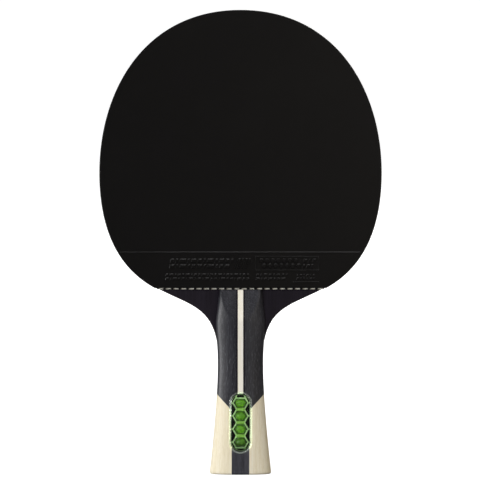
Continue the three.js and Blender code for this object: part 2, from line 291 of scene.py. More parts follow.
def stadium(half_width, half_length, steps=24):
    angle = np.linspace(0, math.pi, steps + 1)
    straight = half_length - half_width
    top = np.column_stack([half_width * np.cos(angle), straight + half_width * np.sin(angle)])
    return np.vstack([top, -top])


def rounded(corners, radius, steps=4):
    """A polygon with its corners rounded off by short curves."""
    corners = np.asarray(corners, float)
    points = []
    for before, corner, after in zip(np.roll(corners, 1, 0), corners, np.roll(corners, -1, 0)):
        start = corner + radius * (before - corner) / np.linalg.norm(before - corner)
        end = corner + radius * (after - corner) / np.linalg.norm(after - corner)
        for t in np.linspace(0, 1, steps + 1):
            points.append((1 - t) ** 2 * start + 2 * t * (1 - t) * corner + t**2 * end)
    return np.array(points)


# ---------------- meshes

def loft(rings):
    """Vertices and faces of a closed solid through rings with the same number of points."""
    rings = np.asarray(rings, float)
    count = rings.shape[1]
    faces = []
    for ring in range(len(rings) - 1):
        low = ring * count
        for i in range(count):
            j = (i + 1) % count
            faces.append((low + i, low + j, low + count + j, low + count + i))
    faces.append(tuple(range(count))[::-1])
    faces.append(tuple(range((len(rings) - 1) * count, len(rings) * count)))
    return rings.reshape(-1, 3), faces


def new_object(name, data):
    made = bpy.data.objects.new(name, data)
    bpy.context.scene.collection.objects.link(made)
    return made


def object_from(name, vertices, faces):
    mesh = bpy.data.meshes.new(name)
    mesh.from_pydata((np.asarray(vertices, float) * MM).tolist(), [], faces)
    tidy = bmesh.new()
    tidy.from_mesh(mesh)
    bmesh.ops.recalc_face_normals(tidy, faces=tidy.faces)
    tidy.to_mesh(mesh)
    tidy.free()
    return new_object(name, mesh)


def ring_at(outline, out):
    """An outline in X and Z, at a distance in front of the middle of the blade."""
    y = np.broadcast_to(-np.asarray(out, float), len(outline))
    return np.column_stack([outline[:, 0], y, outline[:, 1]])


def slab(name, outline, low, high):
    """A plain plate between two distances in front of the middle of the blade."""
    return object_from(name, *loft([ring_at(outline, low), ring_at(outline, high)]))


def shell_group(name, solids):
    """One object from several separate lofted solids."""
    vertices, faces = [], []
    for solid_vertices, solid_faces in solids:
        start = sum(len(v) for v in vertices)
        vertices.append(solid_vertices)
        faces += [tuple(i + start for i in face) for face in solid_faces]
    return object_from(name, np.vstack(vertices), faces)


def combine(piece, tool, operation):
    """Joins or cuts a piece with a tool object, which is then removed."""
    modifier = piece.modifiers.new("combine", "BOOLEAN")
    modifier.operation = operation
    modifier.solver = "MANIFOLD"
    modifier.object = tool
    graph = bpy.context.evaluated_depsgraph_get()
    mesh = bpy.data.meshes.new_from_object(piece.evaluated_get(graph), depsgraph=graph)
    piece.modifiers.clear()
    piece.data = mesh
    bpy.data.objects.remove(tool)
    return piece


def copy_of(piece, name):
    return new_object(name, piece.data.copy())


def turned(piece, name):
    """A copy turned half round the middle line, for the other side of the paddle."""
    made = copy_of(piece, name)
    made.data.transform(((-1, 0, 0, 0), (0, -1, 0, 0), (0, 0, 1, 0), (0, 0, 0, 1)))
    return made


def finish_piece(piece, material, slot, *nodes, smooth_angle=32):
    """Gives a piece its material and shading, and puts it in place of CAD nodes."""
    mesh = piece.data
    mesh.materials.clear()
    mesh.materials.append(material)
    mesh.polygons.foreach_set("material_index", [0] * len(mesh.polygons))
    mesh.polygons.foreach_set("use_smooth", [True] * len(mesh.polygons))
    mesh.set_sharp_from_angle(angle=math.radians(smooth_angle))
    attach(piece, BODY)
    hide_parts(*nodes)


# ---------------- materials

def srgb(code):
    """A linear colour from a hex code."""
    values = [int(code[i:i + 2], 16) / 255 for i in (1, 3, 5)]
    return [v / 12.92 if v <= 0.04045 else ((v + 0.055) / 1.055) ** 2.4 for v in values] + [1.0]


class Look:
    """A material on one Principled shader, with short calls for the nodes that feed it."""

    def __init__(self, name, **constants):
        self.material = bpy.data.materials.new(name)
        self.material.use_nodes = True
        self.tree = self.material.node_tree
        self.shader = self.tree.nodes["Principled BSDF"]
        for socket, value in constants.items():
            self.shader.inputs[socket.replace("_", " ")].default_value = value

    def node(self, kind, **settings):
        made = self.tree.nodes.new("ShaderNode" + kind)
        for name, value in settings.items():
            setattr(made, name, value)
        return made

    def feed(self, socket, value):
        if isinstance(value, bpy.types.NodeSocket):
            self.tree.links.new(value, socket)
        else:
            socket.default_value = value

    def feed_each(self, made, sockets, values):
        """Feeds several inputs of a node, given by name or number."""
        for socket, value in zip(sockets, values):
            self.feed(made.inputs[socket], value)

    def place(self, across, through, along, turn=0.0):
        """Object coordinates in repeats per millimetre along X, Y and Z."""
        mapping = self.node("Mapping")
        mapping.inputs["Scale"].default_value = [v / MM for v in (across, through, along)]
        mapping.inputs["Rotation"].default_value = (0, turn, 0)
        self.feed(mapping.inputs["Vector"], self.node("TexCoord").outputs["Object"])
        return mapping.outputs["Vector"]

    def noise(self, vector, detail=3.0, roughness=0.5, distortion=0.0):
        made = self.node("TexNoise")
        names = ("Vector", "Scale", "Detail", "Roughness", "Distortion")
        self.feed_each(made, names, (vector, 1.0, detail, roughness, distortion))
        return made.outputs["Fac"]

    def cells(self, vector):
        made = self.node("TexVoronoi", feature="F1")
        self.feed_each(made, ("Vector", "Scale"), (vector, 1.0))
        return made.outputs["Distance"]

    def spread(self, value, low, high, to_low=0.0, to_high=1.0):
        made = self.node("MapRange", clamp=True)
        names = ("Value", "From Min", "From Max", "To Min", "To Max")
        self.feed_each(made, names, (value, low, high, to_low, to_high))
        return made.outputs["Result"]

    def maths(self, operation, a, b):
        made = self.node("Math", operation=operation)
        self.feed_each(made, (0, 1), (a, b))
        return made.outputs[0]

    def ramp(self, value, *stops):
        made = self.node("ValToRGB")
        elements = made.color_ramp.elements
        while len(elements) < len(stops):
            elements.new(0.5)
        for element, (place, colour) in zip(elements, stops):
            element.position = place
            element.color = colour
        self.feed(made.inputs["Fac"], value)
        return made.outputs["Color"]

    def mix(self, share, a, b):
        made = self.node("Mix", data_type="RGBA")
        self.feed_each(made, (0, 6, 7), (share, a, b))
        return made.outputs[2]

    def bump(self, height, distance, strength=1.0, normal=None):
        made = self.node("Bump")
        self.feed_each(made, ("Strength", "Distance", "Height"), (strength, distance * MM, height))
        if normal is not None:
            self.feed(made.inputs["Normal"], normal)
        return made.outputs["Normal"]

    def colour(self, value):
        self.feed(self.shader.inputs["Base Color"], value)

    def roughness(self, value):
        self.feed(self.shader.inputs["Roughness"], value)

    def normal(self, value):
        self.feed(self.shader.inputs["Normal"], value)


def wood(name, tones, pore, pore_share, gloss, pore_depth=0.03, grain_turn=0.0, sheen=0.35):
    """Straight-grained wood: fine fibres, soft bands and short pores along the grain."""
    look = Look(name, Specular_IOR_Level=sheen)
    fibres = look.noise(look.place(2.6, 2.6, 0.045, grain_turn), detail=7, roughness=0.62, distortion=0.2)
    bands = look.noise(look.place(0.22, 0.22, 0.006, grain_turn), detail=3)
    grain = look.maths("ADD", look.maths("MULTIPLY", fibres, 0.65), look.maths("MULTIPLY", bands, 0.35))
    dark, middle, light = (srgb(tone) for tone in tones)
    base = look.ramp(grain, (0.36, dark), (0.5, middle), (0.64, light))
    streaks = look.noise(look.place(5.5, 5.5, 0.32, grain_turn), detail=2, roughness=0.4)
    pores = look.spread(streaks, 0.60, 0.70)
    look.colour(look.mix(look.maths("MULTIPLY", pores, pore_share), base, srgb(pore)))
    look.roughness(look.spread(grain, 0.35, 0.65, gloss[0], gloss[1]))
    fine = look.bump(fibres, 0.02, 0.5)
    look.normal(look.bump(look.maths("SUBTRACT", 1.0, pores), pore_depth, 0.6, fine))
    return look.material


def rubber(name, colour, smudge):
    """Matte sheet rubber: very fine grain, faint clouds where it has been handled, a few specks."""
    look = Look(name, Specular_IOR_Level=0.4)
    clouds = look.noise(look.place(0.035, 0.035, 0.035), detail=4, roughness=0.6)
    patches = look.spread(clouds, 0.5, 0.75)
    specks = look.spread(look.noise(look.place(1.4, 1.4, 1.4), detail=1), 0.74, 0.80)
    faint_patches = look.maths("MULTIPLY", patches, 0.5)
    faint_specks = look.maths("MULTIPLY", specks, 0.35)
    marked = look.maths("MAXIMUM", faint_patches, faint_specks)
    look.colour(look.mix(marked, srgb(colour), srgb(smudge)))
    look.roughness(look.spread(clouds, 0.3, 0.7, 0.44, 0.38))
    grain = look.noise(look.place(7, 7, 7), detail=2)
    look.normal(look.bump(grain, 0.012, 0.35))
    return look.material


def foam():
    look = Look("cream_foam", Roughness=0.95, Specular_IOR_Level=0.15)
    pores = look.cells(look.place(5.5, 5.5, 5.5))
    holes = look.spread(pores, 0.12, 0.42)
    tone = look.noise(look.place(0.8, 0.8, 0.8), detail=3)
    base = look.ramp(tone, (0.3, srgb("#c9c3b4")), (0.7, srgb("#dcd7ca")))
    look.colour(look.mix(holes, srgb("#aea797"), base))
    look.normal(look.bump(holes, 0.06, 0.8))
    return look.material


def tape():
    look = Look("woven_tape", Specular_IOR_Level=0.25)
    threads = look.noise(look.place(2.2, 6.5, 2.2), detail=2)
    weave = look.noise(look.place(7, 1.2, 7), detail=2)
    height = look.maths("ADD", threads, weave)
    look.colour(look.ramp(height, (0.7, srgb("#100f12")), (1.0, srgb("#232126"))))
    look.roughness(look.spread(height, 0.7, 1.3, 0.8, 0.62))
    look.normal(look.bump(height, 0.03, 0.6))
    return look.material


# Where the painted shade on the bridges down the middle of the badge fades, by the distance from the
# middle of the badge
BRIDGE_SHADE_TO_EITHER_SIDE = (1.9, 2.5)
BRIDGE_SHADE_TO_EITHER_END = (9.5, 11)


def plastic(name, tones, gloss, mottle=0.6, specular=0.4, bridge_shade=None, low=None):
    """Moulded plastic with a faint mottle.

    thick is a painted shade down the middle of the badge: a deeper green on the bridges there, set
    against the lighter, greyer walls. low is a painted shade at the lower end of the badge: a darker
    colour, with the height up to which that holds and the height where it has faded.
    """
    look = Look(name, Specular_IOR_Level=specular)
    cloud = look.noise(look.place(mottle, mottle, mottle), detail=3, roughness=0.6)
    tone = look.ramp(cloud, (0.32, srgb(tones[0])), (0.68, srgb(tones[1])))
    place = look.node("SeparateXYZ")
    look.feed(place.inputs[0], look.place(1, 1, 1))
    # Painted shade: a deeper green on the bridges down the middle of the badge
    if bridge_shade:
        across = look.spread(look.maths("ABSOLUTE", place.outputs[0], 0), *BRIDGE_SHADE_TO_EITHER_SIDE, 1, 0)
        from_middle = look.maths("SUBTRACT", place.outputs[2], (BADGE_BOTTOM + BADGE_TOP) / 2)
        along = look.spread(look.maths("ABSOLUTE", from_middle, 0), *BRIDGE_SHADE_TO_EITHER_END, 1, 0)
        tone = look.mix(look.maths("MULTIPLY", across, along), tone, srgb(bridge_shade))
    # Painted shade: the colour turns darker towards the lower end of the badge
    if low:
        colour, bottom, top = low
        tone = look.mix(look.spread(place.outputs[2], bottom, top, 0.9, 0), tone, srgb(colour))
    look.colour(tone)
    look.roughness(look.spread(cloud, 0.3, 0.7, gloss[0], gloss[1]))
    look.normal(look.bump(look.noise(look.place(4, 4, 4), detail=2), 0.015, 0.3))
    return look.material


def resin(name, milk, mirror):
    """Cast resin: it mirrors and bends what is seen, and lets lamps through. milk is how cloudy it is."""
    look = Look(
        name,
        Roughness=0.05 + milk,
        IOR=1.48,
        Transmission_Weight=1.0 - milk,
        Specular_IOR_Level=mirror,
    )
    look.shader.inputs["Base Color"].default_value = (0.86, 0.93, 0.82, 1)
    ripple = look.noise(look.place(0.35, 0.35, 0.35), detail=1)
    look.normal(look.bump(ripple, 0.03, 0.15))
    clear = look.node("BsdfTransparent")
    clear.inputs["Color"].default_value = (0.93, 0.965, 0.9, 1)
    share = look.node("MixShader")
    look.feed(share.inputs["Fac"], look.node("LightPath").outputs["Is Shadow Ray"])
    look.feed(share.inputs[1], look.shader.outputs["BSDF"])
    look.feed(share.inputs[2], clear.outputs["BSDF"])
    output = look.tree.nodes["Material Output"]
    look.feed(output.inputs["Surface"], share.outputs["Shader"])
    return look.material


# Its pale pores are painted glints: the open grain catching light
dark_wood = wood(
    "dark_stained_wood", ("#1b1b20", "#29292e", "#3a3a40"),
    pore="#6a6970", pore_share=0.55, gloss=(0.38, 0.48), sheen=0.4,
)
# Its pale pores are painted glints too: the open grain catching light
tail_wood = wood(
    "tail_stained_wood", ("#2a2a30", "#3e3e45", "#515159"),
    pore="#6a6970", pore_share=0.5, gloss=(0.4, 0.5), sheen=0.4,
)
cream_wood = wood(
    "cream_wood", ("#e6d9b6", "#f1e5c9", "#f7efda"),
    pore="#d2be97", pore_share=0.35, gloss=(0.5, 0.62), pore_depth=0.015,
)
stripe_wood = wood(
    "stripe_wood", ("#efe6d0", "#f9f2e2", "#fffaf2"),
    pore="#dccfb2", pore_share=0.3, gloss=(0.5, 0.62), pore_depth=0.015,
)
core_wood = wood(
    "core_ply_wood", ("#c9a877", "#dcc094", "#e8d2ab"),
    pore="#a17c4a", pore_share=0.5, gloss=(0.65, 0.8),
)
inner_wood = wood(
    "inner_ply_wood", ("#8f6a3f", "#a87f50", "#bd9465"),
    pore="#6b4a28", pore_share=0.5, gloss=(0.65, 0.8), grain_turn=math.pi / 2,
)
black_wood = wood(
    "black_dyed_veneer", ("#19161c", "#1f1b22", "#28242c"),
    pore="#131015", pore_share=0.5, gloss=(0.6, 0.75), sheen=0.2,
)
black_rubber = rubber("black_rubber", colour="#030203", smudge="#0b090b")
red_rubber = rubber("red_rubber", colour="#b5121c", smudge="#bf2a30")
cream_foam = foam()
black_tape = tape()
black_plastic = plastic("black_plastic", ("#000100", "#020402"), gloss=(0.6, 0.75), specular=0.08)
# Painted shade on the lattice: a deeper green on the bridges down the middle, darker at the lower end
light_green = plastic(
    "light_green_plastic", ("#7c9466", "#8ea878"),
    gloss=(0.35, 0.5), bridge_shade="#61882f", low=("#2c4524", 12.0, 19.0),
)
# Painted shade: the domes turn darker towards the lower end of the badge
dark_green = plastic(
    "dark_green_plastic", ("#305a02", "#5c930f"),
    gloss=(0.25, 0.4), mottle=1.8, low=("#1f3a05", 15.5, 20.5),
)
# Painted shade for the low pad round each dome, where the cell walls shade it; darker still at the lower
# end
pad_shade_green = plastic(
    "pad_shade_green_plastic", ("#234800", "#33600a"),
    gloss=(0.4, 0.55), low=("#1f3a05", 15.5, 20.5),
)
clear_resin = resin("clear_resin", milk=0.0, mirror=0.25)
cloudy_resin = resin("cloudy_resin", milk=0.14, mirror=0.5)


# ---------------- camera, light and stage

PHOTO_MIDDLE = (-0.27, 126.1)
PHOTO_WIDTH = 259.2
LENS_MM = 200.0
SENSOR_MM = 36.0
SHOT_PLANE = -3.0

# The lamps and the stage are given in metres
LAMP_AIM = (0, 0, 0.12)
FLOOR_DROP = 0.0001
FLOOR_RINGS = (0.02, 0.4, 0.8)
FLOOR_RADIUS = 1.3
TURN_RADIUS = 0.9
WALL_HEIGHT = 3.4


def add_camera():
    data = bpy.data.cameras.new("camera")
    data.lens = LENS_MM
    data.sensor_width = SENSOR_MM
    data.clip_end = 20
    distance = PHOTO_WIDTH * LENS_MM / SENSOR_MM
    camera = new_object("camera", data)
    camera.location = [v * MM for v in (PHOTO_MIDDLE[0], SHOT_PLANE - distance, PHOTO_MIDDLE[1])]
    camera.rotation_euler = (math.pi / 2, 0, 0)
    bpy.context.scene.camera = camera


def add_lamp(name, place, size, energy, colour=(1, 1, 1), mirrored_in_pieces=True):
    """A rectangular softbox that faces the middle of the paddle."""
    data = bpy.data.lights.new(name, "AREA")
    data.shape = "RECTANGLE"
    data.size, data.size_y = size
    data.energy = energy
    data.color = colour
    lamp = new_object(name, data)
    lamp.location = place
    aim = np.array(LAMP_AIM) - np.array(place)
    lamp.rotation_euler = Vector(aim).to_track_quat("-Z", "Y").to_euler()
    lamp.visible_camera = False
    lamp.visible_glossy = mirrored_in_pieces


def add_world():
    world = bpy.data.worlds.new("studio")
    bpy.context.scene.world = world
    world.use_nodes = True
    background = world.node_tree.nodes["Background"]
    background.inputs["Color"].default_value = (1.0, 0.99, 0.97, 1)
    background.inputs["Strength"].default_value = 0.1


def add_stage():
    """A pale round cove: a floor that turns up into a wall, all the way round."""
    angle = np.linspace(0, math.pi / 2, 17)
    turn_out = FLOOR_RADIUS + TURN_RADIUS * np.sin(angle)
    turn = np.column_stack([turn_out, TURN_RADIUS * (1 - np.cos(angle))])
    floor = [(radius, 0.0) for radius in FLOOR_RINGS]
    profile = np.vstack([floor, turn, [(FLOOR_RADIUS + TURN_RADIUS, WALL_HEIGHT)]])
    around = 96
    vertices, faces = [], []
    for i in range(around):
        a = 2 * math.pi * i / around
        vertices += [(r * math.cos(a), r * math.sin(a), z - FLOOR_DROP) for r, z in profile]
    rows = len(profile)
    for i in range(around):
        j = (i + 1) % around
        for k in range(rows - 1):
            faces.append((i * rows + k, j * rows + k, j * rows + k + 1, i * rows + k + 1))
    faces.append(tuple(i * rows for i in range(around))[::-1])
    mesh = bpy.data.meshes.new("stage")
    mesh.from_pydata(vertices, [], faces)
    mesh.polygons.foreach_set("use_smooth", [True] * len(mesh.polygons))
    stage = new_object("stage", mesh)
    look = Look("stage_paper", Roughness=0.9, Specular_IOR_Level=0.0)
    look.shader.inputs["Base Color"].default_value = (0.6, 0.6, 0.6, 1)
    look.shader.inputs["Emission Color"].default_value = (1, 1, 1, 1)
    look.shader.inputs["Emission Strength"].default_value = 0.8
    mesh.materials.append(look.material)
    stage.visible_diffuse = False
    stage.visible_glossy = False
    stage.visible_transmission = False


bpy.context.scene.view_settings.view_transform = "Standard"
add_camera()
add_world()
add_stage()
add_lamp("key", (-0.74, -1.52, 0.17), (1.2, 0.32), 23.0, (0.9, 0.94, 1.0), mirrored_in_pieces=False)
add_lamp("side", (-1.45, -0.75, 0.16), (0.9, 0.9), 6.6, (1.0, 0.985, 0.96))
add_lamp("rim", (-1.5, 0.15, 0.2), (0.5, 0.9), 14.5)
add_lamp("front", (0.9, -1.25, 0.45), (1.0, 0.8), 4.4, (1.0, 0.92, 0.78))
add_lamp("right", (1.4, -0.5, 0.2), (0.6, 0.9), 0.6, (1.0, 0.82, 0.55))
add_lamp("top", (0.2, -0.25, 1.5), (1.0, 0.6), 9.5)
add_lamp("back", (0.5, 1.5, 0.8), (0.9, 0.9), 18.0)


# ---------------- blade

NECK_ROUNDING = 0.9
FACE_MARGIN = 0.3

# The bare edges of the neck are eased between two heights, with a fade at each
EASE_LOW, EASE_HIGH = 67, 101
FADE_LOW, FADE_HIGH = 10, 1.5

# Distances of the rings of a ply from the middle, closer together where its edge is rounded
INNER_PLY_LEVELS = (CORE_FACE, 2.0, 2.3, INNER_FACE)
FACE_PLY_LEVELS = (INNER_FACE, 2.7, 2.86, 2.97, 3.05, WOOD_FACE)


def blade_half(inset):
    """Right half of the blade down to the handle's end. inset eases the bare edges of the neck."""
    outside = (HEAD[:, 1] > SCALE_TOP[1]) | (HEAD[:, 0] > handle_half_width(HEAD[:, 1]))
    head = HEAD[: np.nonzero(outside)[0][-1] + 1]
    fade_high = np.clip((EASE_HIGH - head[:, 1]) / FADE_HIGH, 0, 1)
    fade_low = np.clip((head[:, 1] - EASE_LOW) / FADE_LOW, 0, 1)
    eased = outward(head, -inset * (fade_high * fade_low))
    sides = np.arange(math.floor(head[-1, 1]), END_ROUNDING, -1)
    z = np.concatenate([sides, np.linspace(END_ROUNDING, 0, 7)])
    handle = np.column_stack([handle_half_width(z) - end_inset(z), z])
    return np.vstack([eased, handle])


def ease(depth):
    """How far a rounded edge stands back, by the depth below the face of the wood."""
    left = max(NECK_ROUNDING - depth, 0)
    return NECK_ROUNDING - math.sqrt(NECK_ROUNDING**2 - left**2)


def ply(name, levels):
    """A ply between its first and last level, with flat margins inside both faces."""
    rings = []
    for i, out in enumerate(levels):
        half = blade_half(ease(WOOD_FACE - abs(out)))
        outline = mirrored(half)
        inner = mirrored(outward(half, -FACE_MARGIN))
        if i == 0:
            rings.append(ring_at(inner, out))
        rings.append(ring_at(outline, out))
        if i == len(levels) - 1:
            rings.append(ring_at(inner, out))
    return object_from(name, *loft(rings))


def add_blade():
    core = ply("blade_core_ply_fine", (-CORE_FACE, CORE_FACE))
    finish_piece(core, core_wood, "core_ply", "blade_core_ply")
    for side, name in ((1, "front"), (-1, "back")):
        inner = ply(f"blade_inner_ply_{name}_fine", [side * v for v in INNER_PLY_LEVELS])
        finish_piece(inner, inner_wood, "inner_ply", f"blade_inner_ply_{name}")
        face = ply(f"blade_face_ply_{name}_fine", [side * v for v in FACE_PLY_LEVELS])
        finish_piece(face, black_wood, "black_veneer", f"blade_face_ply_{name}")


# ---------------- rubbers

def rubber_outline(outset, level, side_steps=260, bottom_steps=120):
    """A rubber's outline: down the right side, along the cut, and up the left side."""
    right = resample(cut_above(outward(HEAD, outset), level), side_steps)
    left = (right * (-1, 1))[::-1]
    bottom = np.linspace(right[-1], left[0], bottom_steps + 1)[1:-1]
    return np.vstack([right, bottom, left[:-1]])


def sheet_body():
    """The smooth sheet without its pips: slanted cut, rounded outer edge."""
    margin = 0.25
    rings = [
        ring_at(rubber_outline(SHEET_OUTSET - margin, SHEET_LEVEL - SHEET_SLANT + margin), PIP_TOP),
        ring_at(rubber_outline(SHEET_OUTSET, SHEET_LEVEL - SHEET_SLANT), PIP_TOP),
    ]
    for angle in np.linspace(0, math.pi / 2, 6):
        back = SHEET_ROUNDING * (1 - math.cos(angle))
        out = RUBBER_FACE - SHEET_ROUNDING * (1 - math.sin(angle))
        rings.append(ring_at(rubber_outline(SHEET_OUTSET - back, SHEET_LEVEL + back), out))
    last = SHEET_ROUNDING + margin
    rings.append(ring_at(rubber_outline(SHEET_OUTSET - last, SHEET_LEVEL + last), RUBBER_FACE))
    return object_from("front_topsheet_fine", *loft(rings))


def pip_places():
    """Centres of the pips near the edge of the sheet, on a honeycomb grid with rows along X."""
    edge = cut_above(outward(HEAD, SHEET_OUTSET), PIP_CUT_LEVEL)
    step = PIP_PITCH * math.sqrt(3)
    reach = 20 * step
    places = []
    for row in range(0, int((HEAD_TOP - PIP_ROW_HEIGHT) / (PIP_PITCH / 2)) + 1):
        z = PIP_ROW_HEIGHT + row * PIP_PITCH / 2
        half_width = np.interp(z, edge[::-1, 1], edge[::-1, 0])
        first = step / 2 if row % 2 else 0.0
        for x in np.arange(first - reach, reach, step):
            near = np.min(np.hypot(edge[:, 0] - abs(x), edge[:, 1] - z))
            inside = abs(x) < half_width or near < PIP_RADIUS
            if inside and (near < PIP_BAND or z < PIP_ROW_HEIGHT + PIP_BAND):
                places.append((x, z))
    return places


def pips():
    """The outer rows of pips, cut off where the sheet is cut."""
    angle = np.linspace(0, 2 * math.pi, PIP_SIDES + 1)[:-1]
    circle = np.column_stack([np.cos(angle), np.sin(angle)])
    rings = (
        (SPONGE_FACE, PIP_RADIUS),
        (PIP_TOP - PIP_FOOT_HEIGHT, PIP_RADIUS),
        (PIP_TOP + PIP_ROOT, PIP_RADIUS + PIP_FOOT_FLARE),
    )
    solids = []
    for place in pip_places():
        solids.append(loft([ring_at(place + radius * circle, out) for out, radius in rings]))
    stubs = shell_group("pips", solids)
    edge = rubber_outline(SHEET_OUTSET - 0.05, PIP_CUT_LEVEL)
    return combine(stubs, slab("edge", edge, SPONGE_FACE - 1, RUBBER_FACE - 0.4), "INTERSECT")


def raised(outline, relief=MARK_RELIEF):
    """A low raised mark on the face of the sheet, with eased edges."""
    soft = relief * MARK_SOFTNESS
    middle = outline.mean(axis=0)
    size = np.abs(outline - middle).max(axis=0)
    smaller = middle + (outline - middle) * (1 - soft / size)
    top = RUBBER_FACE + relief
    root = RUBBER_FACE - MARK_ROOT
    return loft([ring_at(outline, root), ring_at(outline, top - soft), ring_at(smaller, top)])


def block(left, low, right, high, lean=0.0, radius=MARK_ROUNDING, relief=MARK_RELIEF):
    corners = [(left, low), (right, low), (right + lean, high), (left + lean, high)]
    return raised(rounded(corners, radius, 2), relief)


def bar(left, low, right, high, relief=MARK_RELIEF):
    return block(left, low, right, high, radius=BAR_ROUNDING, relief=relief)


def frame_bars(left, low, right, high, width):
    """A thin raised rectangle, as four bars that meet at its corners."""
    return [
        bar(left, low, right, low + width),
        bar(left, high - width, right, high),
        bar(left, low + width + BAR_GAP, left + width, high - width - BAR_GAP),
        bar(right - width, low + width + BAR_GAP, right, high - width - BAR_GAP),
    ]


def hexagon(middle, radius):
    """A hexagon with a corner on each side and flat edges above and below."""
    angle = 2 * math.pi * np.arange(6) / 6
    return np.asarray(middle) + np.column_stack([radius * np.cos(angle), radius * np.sin(angle)])


def run_of_blocks(left, right, low, high, widths, gap, lean):
    """Slanted blocks side by side, with their widths repeated until the run is full."""
    made, at, i = [], left, 0
    while at + widths[i % len(widths)] < right:
        width = widths[i % len(widths)]
        made.append(block(at, low, at + width, high, lean))
        at += width + gap
        i += 1
    return made


def double_run(left, right, low, high, widths, gap, lean):
    """Two bands of blocks, one above the other, with their widths in opposite order."""
    band = BAND_SHARE * (high - low)
    band_lean = lean * BAND_SHARE
    shift = lean * (1 - BAND_SHARE)
    lower = run_of_blocks(left, right, low, low + band, widths, gap, band_lean)
    upper = run_of_blocks(left + shift, right + shift, high - band, high, widths[::-1], gap, band_lean)
    return lower + upper


def marks():
    """Plain raised ornament above the cut edge: blocks, slanted bars, hexagons, a frame and a ridge.

    A run is placed by left, right, low and high; a bar and the frame by left, low, right and high.
    """
    solids = double_run(-38.6, -4.6, 110.8, 116.0, widths=(2.6, 1.2, 3.4, 1.2, 2.0), gap=0.9, lean=0.9)
    solids += double_run(-40.6, 5.2, 104.4, 108.0, widths=(1.6, 0.8, 2.2, 1.1), gap=0.75, lean=0.5)
    solids += double_run(8.0, 25.4, 104.4, 108.0, widths=(2.2, 0.9, 1.5), gap=0.75, lean=0.5)
    solids += run_of_blocks(-3.4, 3.6, 110.6, 116.2, widths=(1.2, 0.8), gap=0.9, lean=2.2)
    solids += frame_bars(8.0, 109.6, 42.2, 117.4, width=0.4)
    for i in range(HEXAGON_COUNT):
        middle = (HEXAGON_START + HEXAGON_STEP * i, HEXAGON_ROWS[i % 2])
        solids.append(raised(hexagon(middle, HEXAGON_RADIUS)))
    solids += double_run(33.4, 40.4, 111.0, 116.0, widths=(1.1, 1.9), gap=0.8, lean=0.7)
    solids.append(bar(28.4, 103.3, 42.2, 103.7))
    solids += double_run(30.0, 41.0, 104.6, 107.8, widths=(1.2, 0.7), gap=0.8, lean=0.4)
    reach = np.interp(RIDGE_HEIGHT, HEAD[::-1, 1], HEAD[::-1, 0]) - RIDGE_END_GAP
    low, high = RIDGE_HEIGHT - RIDGE_HALF_HEIGHT, RIDGE_HEIGHT + RIDGE_HALF_HEIGHT
    solids.append(bar(-reach, low, reach, high, RIDGE_RELIEF))
    return shell_group("marks", solids)


def add_rubbers():
    sheet = sheet_body()
    inside = rubber_outline(-PIP_BAND, PIP_ROW_HEIGHT + PIP_BAND, side_steps=120, bottom_steps=40)
    middle = slab("middle", inside, SPONGE_FACE, PIP_TOP + 0.2)
    for tool in (pips(), middle, marks()):
        combine(sheet, tool, "UNION")
    margin = 0.3
    sponge_rings = [ring_at(rubber_outline(-margin, SPONGE_LEVELS[0][1] + margin), WOOD_FACE)]
    sponge_rings += [ring_at(rubber_outline(0, level), out) for out, level in SPONGE_LEVELS]
    sponge_rings.append(ring_at(rubber_outline(-margin, SPONGE_LEVELS[-1][1] + margin), SPONGE_FACE))
    sponge = object_from("front_sponge_fine", *loft(sponge_rings))
    back_sheet = turned(sheet, "back_topsheet_fine")
    back_sponge = turned(sponge, "back_sponge_fine")
    finish_piece(sheet, black_rubber, "black_rubber", "front_topsheet")
    finish_piece(back_sheet, red_rubber, "red_rubber", "back_topsheet")
    for piece, node in ((sponge, "front_sponge"), (back_sponge, "back_sponge")):
        finish_piece(piece, cream_foam, "sponge", node)


def add_tape():
    """A thin band round the rim, with rounded edges and slightly uneven width."""
    path = resample(cut_above(HEAD, TAPE_LEVEL), 240)
    corners = [
        (-TAPE_HALF_WIDTH, TAPE_INSIDE),
        (TAPE_HALF_WIDTH, TAPE_INSIDE),
        (TAPE_HALF_WIDTH, TAPE_OUTSIDE),
        (-TAPE_HALF_WIDTH, TAPE_OUTSIDE),
    ]
    section = rounded(corners, TAPE_ROUNDING, 3)
    full = np.vstack([(path * (-1, 1))[::-1][:-1], path])
    along = np.gradient(full, axis=0)
    along /= np.linalg.norm(along, axis=1)[:, None]
    normal = np.column_stack([-along[:, 1], along[:, 0]])
    travel = np.linspace(0, 1, len(full))
    uneven = 0.05 * np.sin(31 * travel) + 0.04 * np.sin(83 * travel + 1)
    rings = []
    for point, side, extra in zip(full, normal, uneven):
        width = 1 + extra / TAPE_HALF_WIDTH
        rings.append([(point[0] + side[0] * d, y * width, point[1] + side[1] * d) for y, d in section])
    finish_piece(object_from("edge_tape_fine", *loft(rings)), black_tape, "black_tape", "edge_tape")


# ---------------- handle scales

def soft_min(a, b, softness):
    share = np.clip(0.5 + 0.5 * (b - a) / softness, 0, 1)
    return b + (a - b) * share - softness * share * (1 - share)


def ramp_rise(z):
    """Height of the sloping top of the scale above the wood."""
    start = handle_half_thickness(RAMP_START) - WOOD_FACE
    return start + (RAMP_END_RISE - start) * (z - RAMP_START) / (SCALE_TOP[1] - RAMP_START)


